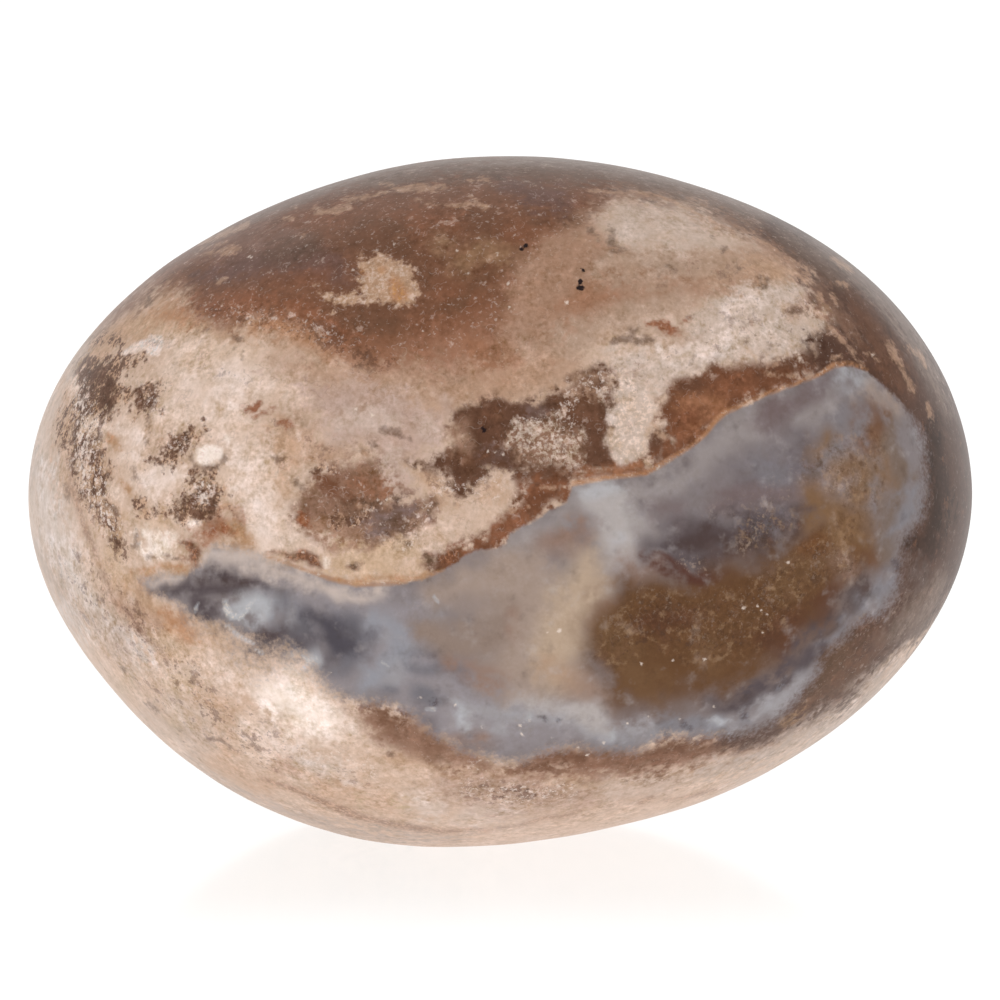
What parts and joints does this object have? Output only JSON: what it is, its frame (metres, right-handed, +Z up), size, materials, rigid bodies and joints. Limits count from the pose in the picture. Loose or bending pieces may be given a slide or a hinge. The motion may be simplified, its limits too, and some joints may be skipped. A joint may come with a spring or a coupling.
{
  "type": "tumbled banded agate",
  "caption": "Rounded, polished agate stone: brown and cream jasper above a blue-grey chalcedony layer; rests on a small worn flat.",
  "frame": {"origin": "on the surface the stone rests on, under the middle of its bounding box", "axes": "+X along the stone's length, +Z up, and -Y out of the broad face that shows the blue-grey layer"},
  "size_m": [0.04, 0.0304, 0.029],
  "materials": {
    "polished_agate": "tumbled to a soft polish"
  },
  "bodies": {
    "root": {"agate_stone": "polished_agate"}
  },
  "joints": []
}
